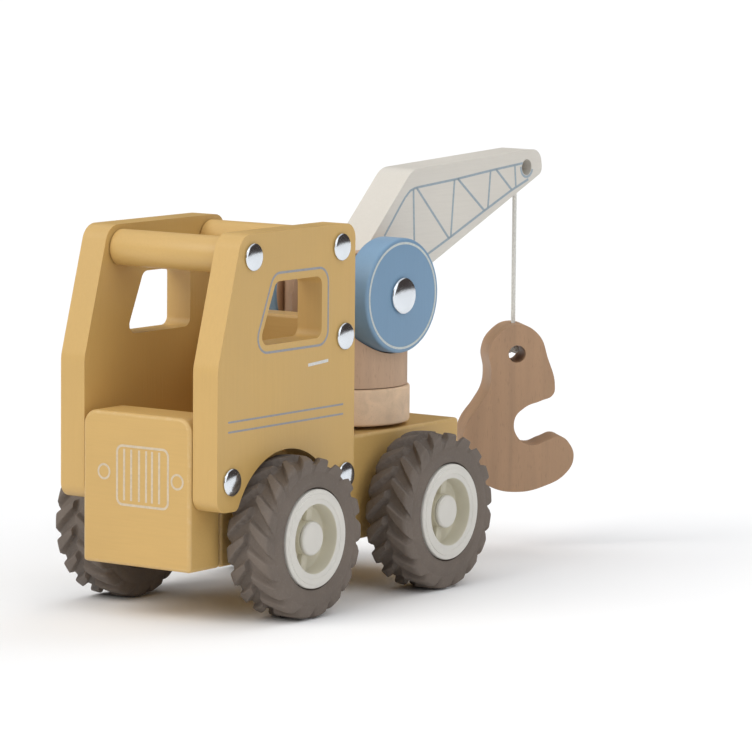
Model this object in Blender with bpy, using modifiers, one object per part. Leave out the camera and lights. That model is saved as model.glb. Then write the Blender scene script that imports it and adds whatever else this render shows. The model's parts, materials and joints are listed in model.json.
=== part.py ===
"""Wooden toy crane truck: open cab, four rubber-tyred wheels, a slewing crane with a luffing
boom, and a wooden hook on a string.

World frame: +Z up, the truck faces -Y, the ground is Z = 0 and the slew axis is the Z axis.
Lengths along the truck are given as distances from its front face.
"""
import math

import bmesh
import bpy
from mathutils import Vector

MM = 0.001
GAP = 0.3 * MM              # clearance left between touching pieces
MERGE = 0.00001             # merge distance of every modifier that merges

# Chassis and cab
FRONT_Y = -114.0 * MM
BODY_LENGTH = 150.6 * MM
BODY_HALF_WIDTH = 21.9 * MM
BODY_BOTTOM = 17.5 * MM
DECK_Z = 53.0 * MM
GRILLE_DEPTH = 16.0 * MM
GRILLE_TOP = 67.2 * MM
GRILLE_CORNER = 5.0 * MM
PANEL_INNER = BODY_HALF_WIDTH + GAP
PANEL_THICKNESS = 9.8 * MM
PANEL_TOP = 125.7 * MM
PANEL_BOTTOM = 37.4 * MM
REAR_WALL_FRONT = 65.0 * MM
REAR_WALL_THICKNESS = 10.0 * MM
REAR_WALL_TOP = 94.7 * MM
DOWEL_RADIUS = 6.0 * MM
EDGE = 1.2 * MM             # rounding of the painted boards

# Cab bolts, as (distance from the front, height)
DOWEL_BOLTS = {"front": (19.3 * MM, 118.2 * MM), "rear": (67.0 * MM, 118.2 * MM)}
WALL_BOLT = (69.2 * MM, 88.7 * MM)
GRILLE_BOLT = (8.4 * MM, 47.0 * MM)
CHASSIS_BOLT = (70.0 * MM, 42.5 * MM)
BOLT_HEAD_RADIUS = 4.5 * MM
BOLT_HEAD_HEIGHT = 1.4 * MM
BOLT_SHANK_RADIUS = 2.0 * MM
BOLT_LENGTH = 22.0 * MM
BOLT_HOLE_RADIUS = BOLT_SHANK_RADIUS + GAP

# Wheels
FRONT_AXLE_Y = -76.2 * MM
REAR_AXLE_Y = 0.0 * MM
TYRE_RADIUS = 26.4 * MM
TYRE_SIDES = 32
TYRE_INNER_X = 26.9 * MM
TYRE_OUTER_X = 43.8 * MM
RIM_RADIUS = 14.3 * MM
RIM_LIP_RADIUS = 16.15 * MM
RIM_FACE_X = 44.5 * MM
HUB_RECESS_RADIUS = 11.3 * MM
HUB_RECESS_X = 38.6 * MM
HUB_BOSS_RADIUS = 5.6 * MM
HUB_BOSS_X = 41.4 * MM
HUB_INNER_X = 22.5 * MM
SPOKE_ANGLES = (170.0, 350.0)
SPOKE_WIDTH = 3.0 * MM
SPOKE_X = 40.4 * MM
HUB_CAP_X = 43.1 * MM
AXLE_RADIUS = 2.0 * MM
AXLE_HALF_LENGTH = 40.4 * MM
WHEEL_ARCH_RADIUS = 28.3 * MM

# Crane, in its own frame: across the boom, along the boom, up
SLEW_AT_REST = math.radians(-3.4)
RING_RADIUS = 22.0 * MM
RING_BOTTOM = 54.2 * MM
RING_TOP = 66.7 * MM
WASHER_RADIUS = 12.0 * MM
POST_RADIUS = 21.1 * MM
POST_TOP = 112.6 * MM
POST_FLAT_X = 14.4 * MM
POST_SHOULDER_RADIUS = 19.1 * MM
SLOT_HALF_WIDTH = 7.3 * MM
SLOT_FLOOR_Z = 87.8 * MM
PIVOT_Z = 98.15 * MM
PIVOT_BOLT_RADIUS = 3.0 * MM
DIAL_RADIUS = 19.4 * MM
DIAL_THICKNESS = 10.0 * MM
DIAL_INNER_X = POST_FLAT_X + GAP
DIAL_POCKET_RADIUS = 19.8 * MM
PIVOT_HEAD_RADIUS = 6.2 * MM
PIVOT_HEAD_HEIGHT = 1.8 * MM
PIVOT_NUT_LENGTH = 3.0 * MM
SWIVEL_BOLT_RADIUS = 3.0 * MM
SWIVEL_HEAD_RADIUS = 5.0 * MM
SWIVEL_HEAD_HEIGHT = 3.4 * MM
SWIVEL_BOLT_END_Z = 33.0 * MM

# Boom, seen from the side with the pivot at the origin
BOOM_THICKNESS = 14.0 * MM
BOOM_ROOT_RADIUS = 9.0 * MM
BOOM_BACK_ANGLE = math.radians(45.0)
BOOM_UNDERSIDE_ANGLE = math.radians(24.2)
BOOM_KNEE = (26.9 * MM, 40.1 * MM, 9.0 * MM)
BOOM_TIP_TOP = (99.6 * MM, 43.9 * MM, 5.0 * MM)
BOOM_TIP_LENGTH = 100.8 * MM
BOOM_HOLE = (91.6 * MM, 37.6 * MM)
BOOM_HOLE_RADIUS = 2.8 * MM

# String and hook
STRING_RADIUS = 0.85 * MM
STRING_REACH = 94.0 * MM    # from the slew axis, along the boom
STRING_BORE_RADIUS = 1.2 * MM
STRING_DROP = 1.0 * MM      # from the boom's underside to the hinge that the string swings on
STRING_STUB = 3.0 * MM      # from there to the hinge that keeps the string upright
STRING_HINGE_GAP = 0.35 * MM    # on each side of the lower hinge, so that it can bend by 35 degrees
KNOT_RADIUS = 1.5 * MM
HOOK_KNOT_RISE = 1.0 * MM    # of the knot above the centre of the hook's hole
HOOK_YAW = math.radians(47.3)
HOOK_THICKNESS = 14.0 * MM
HOOK_TOP = 79.9 * MM
HOOK_HOLE_Z = 69.4 * MM
HOOK_HOLE_RADIUS = 3.1 * MM
HOOK_EDGE = 1.5 * MM
HOOK_OUTLINE = (            # across from the string axis, height; millimetres, clockwise
    (0.0, 79.9), (7.4, 76.6), (11.3, 67.5), (13.9, 58.0), (13.2, 54.6), (9.0, 52.6),
    (3.0, 50.2), (-0.7, 45.8), (0.9, 39.2), (6.0, 36.6), (11.2, 38.2), (16.2, 39.6),
    (19.4, 37.2), (21.1, 32.0), (18.4, 26.5), (10.4, 21.9), (0.0, 20.0), (-9.2, 22.0),
    (-16.6, 27.6), (-19.8, 36.0), (-17.7, 45.0), (-12.8, 52.1), (-10.0, 57.2), (-9.3, 63.0),
    (-10.1, 70.2), (-7.0, 76.4))

PAINT_OCHRE = ("painted_ochre", (0.56, 0.37, 0.15), 0.55, 0.0)
PAINT_CREAM = ("painted_cream", (0.63, 0.60, 0.53), 0.55, 0.0)
PAINT_BLUE = ("painted_blue", (0.19, 0.31, 0.44), 0.5, 0.0)
RUBBER = ("tyre_rubber", (0.13, 0.11, 0.095), 0.85, 0.0)
PLASTIC = ("hub_plastic", (0.6, 0.59, 0.52), 0.45, 0.0)
CHROME = ("chromed_steel", (0.75, 0.75, 0.76), 0.15, 1.0)
STEEL = ("plain_steel", (0.5, 0.5, 0.5), 0.35, 1.0)
BEECH = ("natural_beech", (0.52, 0.36, 0.24), 0.6, 0.0)
HOOK_WOOD = ("hook_beech", (0.38, 0.24, 0.15), 0.6, 0.0)
COTTON = ("cotton_string", (0.6, 0.6, 0.53), 0.9, 0.0)


def clear_scene():
    for obj in list(bpy.data.objects):
        bpy.data.objects.remove(obj, do_unlink=True)


def new_collection(name):
    collection = bpy.data.collections.new(name)
    bpy.context.scene.collection.children.link(collection)
    return collection


clear_scene()
TRUCK = new_collection("toy_crane_truck")
CUTTERS = new_collection("cutters")


def material(finish):
    name, colour, roughness, metallic = finish
    found = bpy.data.materials.get(name)
    if found:
        return found
    made = bpy.data.materials.new(name)
    made.use_nodes = True
    shader = made.node_tree.nodes["Principled BSDF"]
    shader.inputs["Base Color"].default_value = (*colour, 1.0)
    shader.inputs["Roughness"].default_value = roughness
    shader.inputs["Metallic"].default_value = metallic
    return made


def add(name, mesh, finish=None, parent=None):
    """Link a mesh as a part, or as a cutter when it has no finish."""
    obj = bpy.data.objects.new(name, mesh)
    if finish:
        TRUCK.objects.link(obj)
        mesh.materials.append(material(finish))
    else:
        CUTTERS.objects.link(obj)
        obj.hide_render = True
        obj.display_type = "WIRE"
    obj.parent = parent
    return obj


def pivot(name, place, parent=None, yaw=0.0):
    empty = bpy.data.objects.new(name, None)
    TRUCK.objects.link(empty)
    empty.empty_display_size = 0.01
    empty.location = place
    empty.rotation_euler = (0.0, 0.0, yaw)
    empty.parent = parent
    return empty


def mesh_from(build):
    """Mesh made by a function that fills a bmesh."""
    bm = bmesh.new()
    build(bm)
    mesh = bpy.data.meshes.new("mesh")
    bm.to_mesh(mesh)
    bm.free()
    return mesh


def box(name, low, high, finish=None, parent=None):
    size = Vector(high) - Vector(low)

    def build(bm):
        bmesh.ops.create_cube(bm, size=1.0)
        bmesh.ops.scale(bm, vec=size, verts=bm.verts)

    obj = add(name, mesh_from(build), finish, parent)
    obj.location = (Vector(low) + Vector(high)) / 2
    return obj


def rod(name, radius, start, end, finish=None, parent=None, sides=16):
    """Cylinder between two points."""
    start, end = Vector(start), Vector(end)

    def build(bm):
        bmesh.ops.create_cone(bm, cap_ends=True, segments=sides, radius1=radius,
                              radius2=radius, depth=(end - start).length)

    mesh = mesh_from(build)
    mesh.shade_smooth()
    mesh.set_sharp_from_angle(angle=math.radians(40))
    obj = add(name, mesh, finish, parent)
    obj.location = (start + end) / 2
    obj.rotation_euler = (end - start).to_track_quat("Z", "Y").to_euler()
    return obj


def turned(name, profile, sides, finish, parent=None, ring=False):
    """Body of revolution about local Z from (radius, height) points, listed down its outer side.

    The facets, not the corners between them, lie across local X and Y.
    """
    mesh = bpy.data.meshes.new(name)
    count = len(profile)
    edges = [(i, i + 1) for i in range(count - 1)] + ([(count - 1, 0)] if ring else [])
    half_step = math.pi / sides
    mesh.from_pydata([(radius * math.cos(half_step), radius * math.sin(half_step), height)
                      for radius, height in profile], edges, [])
    obj = add(name, mesh, finish, parent)
    screw = obj.modifiers.new("turn", "SCREW")
    screw.angle = math.tau
    screw.steps = screw.render_steps = sides
    screw.use_merge_vertices = True
    screw.merge_threshold = MERGE
    screw.use_smooth_shade = True
    return obj


def face_across(obj, side=1):
    """Turn a body of revolution so that its local +Z points to +X, or to -X."""
    obj.rotation_euler = (0.0, side * math.pi / 2, 0.0)


def arc(centre, radius, start, end, steps):
    angles = [start + (end - start) * i / steps for i in range(steps + 1)]
    return [(centre[0] + radius * math.cos(a), centre[1] + radius * math.sin(a)) for a in angles]


def rounded(corners, steps=4):
    """Closed outline whose (u, v, radius) corners are replaced by arcs; radius 0 keeps a corner."""
    points = []
    count = len(corners)
    for i, (u, v, radius) in enumerate(corners):
        corner = Vector((u, v))
        if radius == 0:
            points.append((u, v))
            continue
        before = (Vector(corners[i - 1][:2]) - corner).normalized()
        after = (Vector(corners[(i + 1) % count][:2]) - corner).normalized()
        half = before.angle(after) / 2
        centre = corner + (before + after).normalized() * (radius / math.sin(half))
        first = corner + before * (radius / math.tan(half)) - centre
        last = corner + after * (radius / math.tan(half)) - centre
        sweep = first.angle_signed(last)
        begin = math.atan2(first.y, first.x)
        points += arc(centre, radius, begin, begin - sweep, steps)
    return points


def plate(name, points, thickness, finish=None, parent=None, yaw=math.pi / 2, smooth=False):
    """Flat piece from an outline (along, up), centred on its own middle plane and stood upright."""
    curve = bpy.data.curves.new(name, "CURVE")
    curve.dimensions = "2D"
    curve.fill_mode = "BOTH"
    curve.extrude = thickness / 2
    if smooth:
        spline = curve.splines.new("BEZIER")
        spline.bezier_points.add(len(points) - 1)
        for knot, (u, v) in zip(spline.bezier_points, points):
            knot.co = (u, v, 0.0)
            knot.handle_left_type = knot.handle_right_type = "AUTO"
        curve.resolution_u = 3
    else:
        spline = curve.splines.new("POLY")
        spline.points.add(len(points) - 1)
        for knot, (u, v) in zip(spline.points, points):
            knot.co = (u, v, 0.0, 1.0)
    spline.use_cyclic_u = True
    source = bpy.data.objects.new(name, curve)
    bpy.context.scene.collection.objects.link(source)
    graph = bpy.context.evaluated_depsgraph_get()
    mesh = bpy.data.meshes.new_from_object(source.evaluated_get(graph))
    bpy.data.objects.remove(source, do_unlink=True)
    bm = bmesh.new()
    bm.from_mesh(mesh)
    bmesh.ops.remove_doubles(bm, verts=bm.verts, dist=MERGE)
    bmesh.ops.dissolve_limit(bm, angle_limit=math.radians(1), verts=bm.verts, edges=bm.edges)
    bmesh.ops.recalc_face_normals(bm, faces=bm.faces)
    bm.to_mesh(mesh)
    bm.free()
    mesh.materials.clear()
    obj = add(name, mesh, finish, parent)
    obj.rotation_euler = (math.pi / 2, 0.0, yaw)
    return obj


def soften(obj, width, segments=2):
    """Round the edges between faces that meet at a clear angle."""
    bevel = obj.modifiers.new("rounded_edges", "BEVEL")
    bevel.width = width
    bevel.segments = segments
    bevel.limit_method = "ANGLE"
    bevel.angle_limit = math.radians(50)


def combine(obj, other, operation):
    boolean = obj.modifiers.new(other.name, "BOOLEAN")
    boolean.operation = operation
    boolean.solver = "EXACT"
    boolean.object = other


def cut(obj, other):
    combine(obj, other, "DIFFERENCE")


def at(distance, height, x=0.0):
    """Point given by its distance from the truck's front."""
    return Vector((x, FRONT_Y + distance, height))


# ---------------------------------------------------------------- chassis and cab

def side_hole(obj, label, place, depth_from, depth_to):
    """Bolt hole along X on both sides of a piece, between two distances from the middle."""
    for side in (-1, 1):
        hole = rod(f"hole_{label}_{side}", BOLT_HOLE_RADIUS, at(*place, side * depth_from),
                   at(*place, side * depth_to))
        cut(obj, hole)


BOLT_TIP_X = PANEL_INNER + PANEL_THICKNESS + GAP - BOLT_LENGTH


def axle_bore(obj, label, y):
    reach = BODY_HALF_WIDTH + 2 * MM
    cut(obj, rod(f"axle_bore_{label}", AXLE_RADIUS + GAP, (-reach, y, TYRE_RADIUS),
                 (reach, y, TYRE_RADIUS)))


def make_chassis():
    beam = box("chassis", at(GRILLE_DEPTH + GAP, BODY_BOTTOM, -BODY_HALF_WIDTH),
               at(BODY_LENGTH, DECK_Z, BODY_HALF_WIDTH), PAINT_OCHRE)
    soften(beam, EDGE)
    axle_bore(beam, "front", FRONT_AXLE_Y)
    axle_bore(beam, "rear", REAR_AXLE_Y)
    cut(beam, rod("swivel_bore_chassis", SWIVEL_BOLT_RADIUS + GAP,
                  (0, 0, SWIVEL_BOLT_END_Z - 1 * MM), (0, 0, DECK_Z + 2 * MM)))
    side_hole(beam, "chassis", CHASSIS_BOLT, BOLT_TIP_X - 1 * MM, BODY_HALF_WIDTH + 2 * MM)


def make_grille_block():
    half = BODY_HALF_WIDTH
    corners = [(-half, BODY_BOTTOM, 0), (half, BODY_BOTTOM, 0),
               (half, GRILLE_TOP, GRILLE_CORNER), (-half, GRILLE_TOP, GRILLE_CORNER)]
    block = plate("grille_block", rounded(corners), GRILLE_DEPTH, PAINT_OCHRE, yaw=0.0)
    block.location = (0.0, FRONT_Y + GRILLE_DEPTH / 2, 0.0)
    soften(block, EDGE)
    side_hole(block, "grille", GRILLE_BOLT, BOLT_TIP_X - 1 * MM, half + 2 * MM)


def panel_outline():
    """Side panel seen from the truck's left: distance from the front, height."""
    axle = FRONT_AXLE_Y - FRONT_Y
    rise = PANEL_BOTTOM - TYRE_RADIUS
    start = math.pi - math.asin(rise / WHEEL_ARCH_RADIUS)
    arch = arc((axle, TYRE_RADIUS), WHEEL_ARCH_RADIUS, start, math.pi - start, 14)
    foot = 2.6 * MM
    return rounded(
        [(1.0 * MM, PANEL_BOTTOM, 4.6 * MM), (*arch[0], foot)]
        + [(u, v, 0) for u, v in arch[1:-1]]
        + [(*arch[-1], foot), (74.9 * MM, PANEL_BOTTOM, 4.6 * MM),
           (74.9 * MM, PANEL_TOP, 5.0 * MM), (13.3 * MM, PANEL_TOP, 6.5 * MM),
           (1.0 * MM, 83.5 * MM, 12.0 * MM)])


def window_outline():
    corner = 3.0 * MM
    return rounded([(22.6 * MM, 89.3 * MM, corner), (56.5 * MM, 89.3 * MM, corner),
                    (56.5 * MM, 109.5 * MM, corner), (31.6 * MM, 109.5 * MM, corner)])


def make_side_panel(name, side):
    middle = side * (PANEL_INNER + PANEL_THICKNESS / 2)
    panel = plate(name, panel_outline(), PANEL_THICKNESS, PAINT_OCHRE)
    panel.location = (middle, FRONT_Y, 0.0)
    soften(panel, EDGE)
    window = plate(f"window_{name}", window_outline(), 2 * PANEL_THICKNESS)
    window.location = (middle, FRONT_Y, 0.0)
    cut(panel, window)
    for i, place in enumerate((*DOWEL_BOLTS.values(), WALL_BOLT, GRILLE_BOLT, CHASSIS_BOLT)):
        hole = rod(f"bolt_hole_{name}_{i}", BOLT_HOLE_RADIUS,
                   at(*place, middle - PANEL_THICKNESS), at(*place, middle + PANEL_THICKNESS), sides=12)
        cut(panel, hole)


def make_dowels():
    for label, place in DOWEL_BOLTS.items():
        dowel = rod(f"{label}_dowel", DOWEL_RADIUS, at(*place, -BODY_HALF_WIDTH),
                    at(*place, BODY_HALF_WIDTH), PAINT_OCHRE, sides=24)
        side_hole(dowel, f"{label}_dowel", place, BOLT_TIP_X - 1 * MM, BODY_HALF_WIDTH + 2 * MM)


def make_rear_wall():
    wall = box("rear_wall", at(REAR_WALL_FRONT, DECK_Z + GAP, -BODY_HALF_WIDTH),
               at(REAR_WALL_FRONT + REAR_WALL_THICKNESS, REAR_WALL_TOP, BODY_HALF_WIDTH),
               PAINT_OCHRE)
    soften(wall, EDGE)
    side_hole(wall, "rear_wall", WALL_BOLT, BOLT_TIP_X - 1 * MM, BODY_HALF_WIDTH + 2 * MM)


def dome(radius, height, steps=4):
    """Profile of a domed head, from its crown out and down to its flat underside."""
    angles = [math.pi / 2 * (1 - i / steps) for i in range(steps)]
    return ([(radius * math.cos(a), height * (0.25 + 0.75 * math.sin(a))) for a in angles]
            + [(radius, 0.25 * height), (radius, 0.0)])


def make_cab_bolt(name, place, side):
    profile = dome(BOLT_HEAD_RADIUS, BOLT_HEAD_HEIGHT) + [
        (BOLT_SHANK_RADIUS, 0.0), (BOLT_SHANK_RADIUS, -BOLT_LENGTH), (0.0, -BOLT_LENGTH)]
    bolt = turned(name, profile, 16, CHROME)
    bolt.location = at(*place, side * (PANEL_INNER + PANEL_THICKNESS + GAP))
    face_across(bolt, side)


def make_cab():
    make_chassis()
    make_grille_block()
    make_dowels()
    make_rear_wall()
    bolts = {"front_top": DOWEL_BOLTS["front"], "rear_top": DOWEL_BOLTS["rear"],
             "rear_mid": WALL_BOLT, "front_low": GRILLE_BOLT, "rear_low": CHASSIS_BOLT}
    for label, side in (("left", 1), ("right", -1)):
        make_side_panel(f"side_panel_{label}", side)
        for spot, place in bolts.items():
            make_cab_bolt(f"bolt_{spot}_{label}", place, side)


# ---------------------------------------------------------------- wheels

def tyre_profile():
    """Closed section (radius, distance from the truck's middle), outer face first.

    The tread's radius is that of the corners, so that a facet touches the ground.
    """
    bead = RIM_RADIUS + 2 * GAP
    lip = RIM_LIP_RADIUS + 2 * GAP
    tread = TYRE_RADIUS / math.cos(math.pi / TYRE_SIDES)
    return [(lip, TYRE_OUTER_X - 0.6 * MM), (18.6 * MM, TYRE_OUTER_X),
            (24.8 * MM, TYRE_OUTER_X - 0.4 * MM), (tread, TYRE_OUTER_X - 1.8 * MM),
            (tread, TYRE_INNER_X + 1.8 * MM), (24.8 * MM, TYRE_INNER_X + 0.4 * MM),
            (18.6 * MM, TYRE_INNER_X), (bead, TYRE_INNER_X + 1.4 * MM),
            (bead, TYRE_OUTER_X - 1.5 * MM), (lip, TYRE_OUTER_X - 1.5 * MM)]


def hub_profile():
    """Closed section of the hub: flat rim face, recess with a boss, barrel and inner spacer."""
    bore = AXLE_RADIUS + GAP
    barrel_inner_x = TYRE_INNER_X + 1.2 * MM
    return [(bore, HUB_BOSS_X), (HUB_BOSS_RADIUS, HUB_BOSS_X), (HUB_BOSS_RADIUS, HUB_RECESS_X),
            (HUB_RECESS_RADIUS, HUB_RECESS_X), (HUB_RECESS_RADIUS, RIM_FACE_X - 0.6 * MM),
            (HUB_RECESS_RADIUS + 0.6 * MM, RIM_FACE_X), (RIM_LIP_RADIUS - 0.7 * MM, RIM_FACE_X),
            (RIM_LIP_RADIUS, RIM_FACE_X - 0.7 * MM), (RIM_LIP_RADIUS, TYRE_OUTER_X - 1.2 * MM),
            (RIM_RADIUS, TYRE_OUTER_X - 1.2 * MM), (RIM_RADIUS, barrel_inner_x),
            (5.0 * MM, barrel_inner_x), (5.0 * MM, HUB_INNER_X), (bore, HUB_INNER_X)]


def make_wheel(label, axle_pivot, side):
    tyre = turned(f"tyre_{label}", tyre_profile(), TYRE_SIDES, RUBBER, axle_pivot, ring=True)
    face_across(tyre, side)
    hub = turned(f"hub_{label}", hub_profile(), 24, PLASTIC, axle_pivot, ring=True)
    face_across(hub, side)
    for i, angle in enumerate(SPOKE_ANGLES):
        reach = HUB_RECESS_RADIUS + 0.8 * MM
        inner = HUB_BOSS_RADIUS - 0.8 * MM
        spoke = box(f"spoke_{label}_{i}", (inner, -SPOKE_WIDTH / 2, HUB_RECESS_X - 1 * MM),
                    (reach, SPOKE_WIDTH / 2, SPOKE_X))
        spoke.parent = pivot(f"spoke_angle_{label}_{i}", (0, 0, 0), hub, math.radians(angle))
        combine(hub, spoke, "UNION")
    cap_profile = [(0.0, HUB_CAP_X), (HUB_BOSS_RADIUS - 0.7 * MM, HUB_CAP_X),
                   (HUB_BOSS_RADIUS, HUB_CAP_X - 0.7 * MM), (HUB_BOSS_RADIUS, HUB_BOSS_X + GAP),
                   (AXLE_RADIUS, HUB_BOSS_X + GAP), (AXLE_RADIUS, AXLE_HALF_LENGTH + GAP),
                   (0.0, AXLE_HALF_LENGTH + GAP)]
    cap = turned(f"hub_cap_{label}", cap_profile, 16, PLASTIC, axle_pivot)
    face_across(cap, side)


def make_wheels():
    for label, y in (("front", FRONT_AXLE_Y), ("rear", REAR_AXLE_Y)):
        axle_pivot = pivot(f"{label}_axle_pivot", (0.0, y, TYRE_RADIUS))
        rod(f"{label}_axle", AXLE_RADIUS, (-AXLE_HALF_LENGTH, 0, 0), (AXLE_HALF_LENGTH, 0, 0),
            STEEL, axle_pivot)
        make_wheel(f"{label}_left", axle_pivot, 1)
        make_wheel(f"{label}_right", axle_pivot, -1)


# ---------------------------------------------------------------- crane

def make_turntable(crane):
    turned("swivel_washer", [
        (SWIVEL_BOLT_RADIUS + GAP, RING_BOTTOM - GAP), (WASHER_RADIUS, RING_BOTTOM - GAP),
        (WASHER_RADIUS, DECK_Z + GAP), (SWIVEL_BOLT_RADIUS + GAP, DECK_Z + GAP)],
        20, STEEL, ring=True)
    round_edge = 0.9 * MM
    turned("turntable_ring", [
        (SWIVEL_BOLT_RADIUS + GAP, RING_TOP), (RING_RADIUS - round_edge, RING_TOP),
        (RING_RADIUS, RING_TOP - round_edge), (RING_RADIUS, RING_BOTTOM + round_edge),
        (RING_RADIUS - round_edge, RING_BOTTOM), (SWIVEL_BOLT_RADIUS + GAP, RING_BOTTOM)],
        40, BEECH, crane, ring=True)
    head_bottom = SLOT_FLOOR_Z - SWIVEL_HEAD_HEIGHT - GAP
    turned("swivel_bolt", [
        (0.0, SLOT_FLOOR_Z - GAP), (SWIVEL_HEAD_RADIUS - 0.6 * MM, SLOT_FLOOR_Z - GAP),
        (SWIVEL_HEAD_RADIUS, SLOT_FLOOR_Z - 0.9 * MM), (SWIVEL_HEAD_RADIUS, head_bottom),
        (SWIVEL_BOLT_RADIUS, head_bottom), (SWIVEL_BOLT_RADIUS, SWIVEL_BOLT_END_Z),
        (0.0, SWIVEL_BOLT_END_Z)], 16, STEEL)


def make_post(crane):
    """Round post with rounded shoulders, a slot for the boom and a round pocket for each dial."""
    bottom = RING_TOP + GAP
    post = turned("post", [(0.0, POST_TOP), (POST_RADIUS, POST_TOP), (POST_RADIUS, bottom),
                           (0.0, bottom)], 40, BEECH, crane)
    far = POST_RADIUS + 4 * MM
    top = POST_TOP + 4 * MM
    shoulders = [(far, PIVOT_Z), (far, top), (-far, top), (-far, PIVOT_Z)]
    shoulders += arc((0.0, PIVOT_Z), POST_SHOULDER_RADIUS, math.pi, 0.0, 24)
    cut(post, plate("post_shoulders", shoulders, 2 * far, parent=crane))
    cut(post, box("boom_slot", (-SLOT_HALF_WIDTH, -far, SLOT_FLOOR_Z),
                  (SLOT_HALF_WIDTH, far, top), parent=crane))
    for side in (-1, 1):
        cut(post, rod(f"dial_pocket_{side}", DIAL_POCKET_RADIUS, (side * POST_FLAT_X, 0, PIVOT_Z),
                      (side * far, 0, PIVOT_Z), parent=crane, sides=40))
    counterbore_floor = SLOT_FLOOR_Z - SWIVEL_HEAD_HEIGHT - 2 * GAP
    cut(post, rod("swivel_counterbore", SWIVEL_HEAD_RADIUS + GAP, (0, 0, counterbore_floor),
                  (0, 0, SLOT_FLOOR_Z + 2 * MM), parent=crane))
    cut(post, rod("swivel_bore_post", SWIVEL_BOLT_RADIUS + GAP, (0, 0, bottom - 2 * MM),
                  (0, 0, counterbore_floor + 1 * MM), parent=crane))
    cut(post, rod("pivot_bore_post", PIVOT_BOLT_RADIUS + GAP, (-far, 0, PIVOT_Z),
                  (far, 0, PIVOT_Z), parent=crane))


def underside(reach):
    """Height of the boom's underside, from the pivot, at a distance along the boom."""
    return reach * math.tan(BOOM_UNDERSIDE_ANGLE) - BOOM_ROOT_RADIUS / math.cos(BOOM_UNDERSIDE_ANGLE)


def boom_outline():
    """Boom seen from the side: round root, straight underside, blunt tip and a bent back."""
    tip_bottom = (BOOM_TIP_LENGTH, underside(BOOM_TIP_LENGTH), 3.0 * MM)
    root = arc((0, 0), BOOM_ROOT_RADIUS, BOOM_UNDERSIDE_ANGLE - math.pi / 2,
               BOOM_BACK_ANGLE - 3 * math.pi / 2, 16)
    return rounded([BOOM_TIP_TOP, tip_bottom] + [(u, v, 0) for u, v in root] + [BOOM_KNEE], 6)


def make_boom(boom_pivot):
    boom = plate("boom", boom_outline(), BOOM_THICKNESS, PAINT_CREAM, boom_pivot)
    soften(boom, 1.0 * MM)
    half = BOOM_THICKNESS
    cut(boom, rod("pivot_bore_boom", PIVOT_BOLT_RADIUS + GAP, (-half, 0, 0), (half, 0, 0),
                  parent=boom_pivot))
    cut(boom, rod("boom_cross_hole", BOOM_HOLE_RADIUS, (-half, *BOOM_HOLE), (half, *BOOM_HOLE),
                  parent=boom_pivot))
    cut(boom, rod("boom_string_bore", STRING_BORE_RADIUS,
                  (0, STRING_REACH, underside(STRING_REACH) - 3 * MM),
                  (0, STRING_REACH, BOOM_HOLE[1]), parent=boom_pivot, sides=8))


def make_dials(boom_pivot):
    outer = DIAL_THICKNESS
    round_edge = 0.9 * MM
    for label, side in (("left", 1), ("right", -1)):
        dial = turned(f"dial_{label}", [
            (PIVOT_BOLT_RADIUS + GAP, outer), (DIAL_RADIUS - round_edge, outer),
            (DIAL_RADIUS, outer - round_edge), (DIAL_RADIUS, round_edge),
            (DIAL_RADIUS - round_edge, 0.0), (PIVOT_BOLT_RADIUS + GAP, 0.0)],
            40, PAINT_BLUE, boom_pivot, ring=True)
        dial.location = (side * DIAL_INNER_X, 0.0, 0.0)
        face_across(dial, side)


def make_pivot_bolt(boom_pivot):
    """Domed screw on the left, domed sleeve nut on the right."""
    seat = DIAL_INNER_X + DIAL_THICKNESS + GAP
    length = 2 * seat - PIVOT_NUT_LENGTH - 1 * MM
    bolt = turned("pivot_bolt", dome(PIVOT_HEAD_RADIUS, PIVOT_HEAD_HEIGHT) + [
        (PIVOT_BOLT_RADIUS, 0.0), (PIVOT_BOLT_RADIUS, -length), (0.0, -length)],
        24, CHROME, boom_pivot)
    bolt.location = (seat, 0.0, 0.0)
    face_across(bolt)
    nut = turned("pivot_nut", dome(PIVOT_HEAD_RADIUS, PIVOT_HEAD_HEIGHT) + [
        (PIVOT_BOLT_RADIUS, 0.0), (PIVOT_BOLT_RADIUS, -PIVOT_NUT_LENGTH), (0.0, -PIVOT_NUT_LENGTH)],
        24, CHROME, boom_pivot)
    nut.location = (-seat, 0.0, 0.0)
    face_across(nut, -1)


# ---------------------------------------------------------------- string and hook

def string_tube(name, points, parent):
    """Round cord through points in its parent's frame."""
    curve = bpy.data.curves.new(name, "CURVE")
    curve.dimensions = "3D"
    curve.bevel_depth = STRING_RADIUS
    curve.bevel_resolution = 2
    curve.use_fill_caps = True
    spline = curve.splines.new("POLY")
    spline.points.add(len(points) - 1)
    for knot, point in zip(spline.points, points):
        knot.co = (*point, 1.0)
    obj = bpy.data.objects.new(name, curve)
    curve.materials.append(material(COTTON))
    TRUCK.objects.link(obj)
    obj.parent = parent


def knot(name, place, parent):
    def build(bm):
        bmesh.ops.create_uvsphere(bm, u_segments=8, v_segments=6, radius=KNOT_RADIUS)

    obj = add(name, mesh_from(build), COTTON, parent)
    obj.location = place


def make_string(boom_pivot, swing_pivot, level_pivot, string_top, hook_knot_z):
    knot("string_knot_top", (0.0, BOOM_HOLE[0] + 0.5 * MM, BOOM_HOLE[1] - 0.7 * MM), boom_pivot)
    string_tube("string_stub", [(0, 0, 0), (0, 0, STRING_HINGE_GAP - STRING_STUB)], swing_pivot)
    lower = hook_knot_z + KNOT_RADIUS + GAP
    upper = string_top - STRING_STUB - STRING_HINGE_GAP
    steps = 16
    string_tube("string", [(0, 0, (lower - upper) * i / steps - STRING_HINGE_GAP)
                           for i in range(steps + 1)],
                level_pivot)


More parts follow.
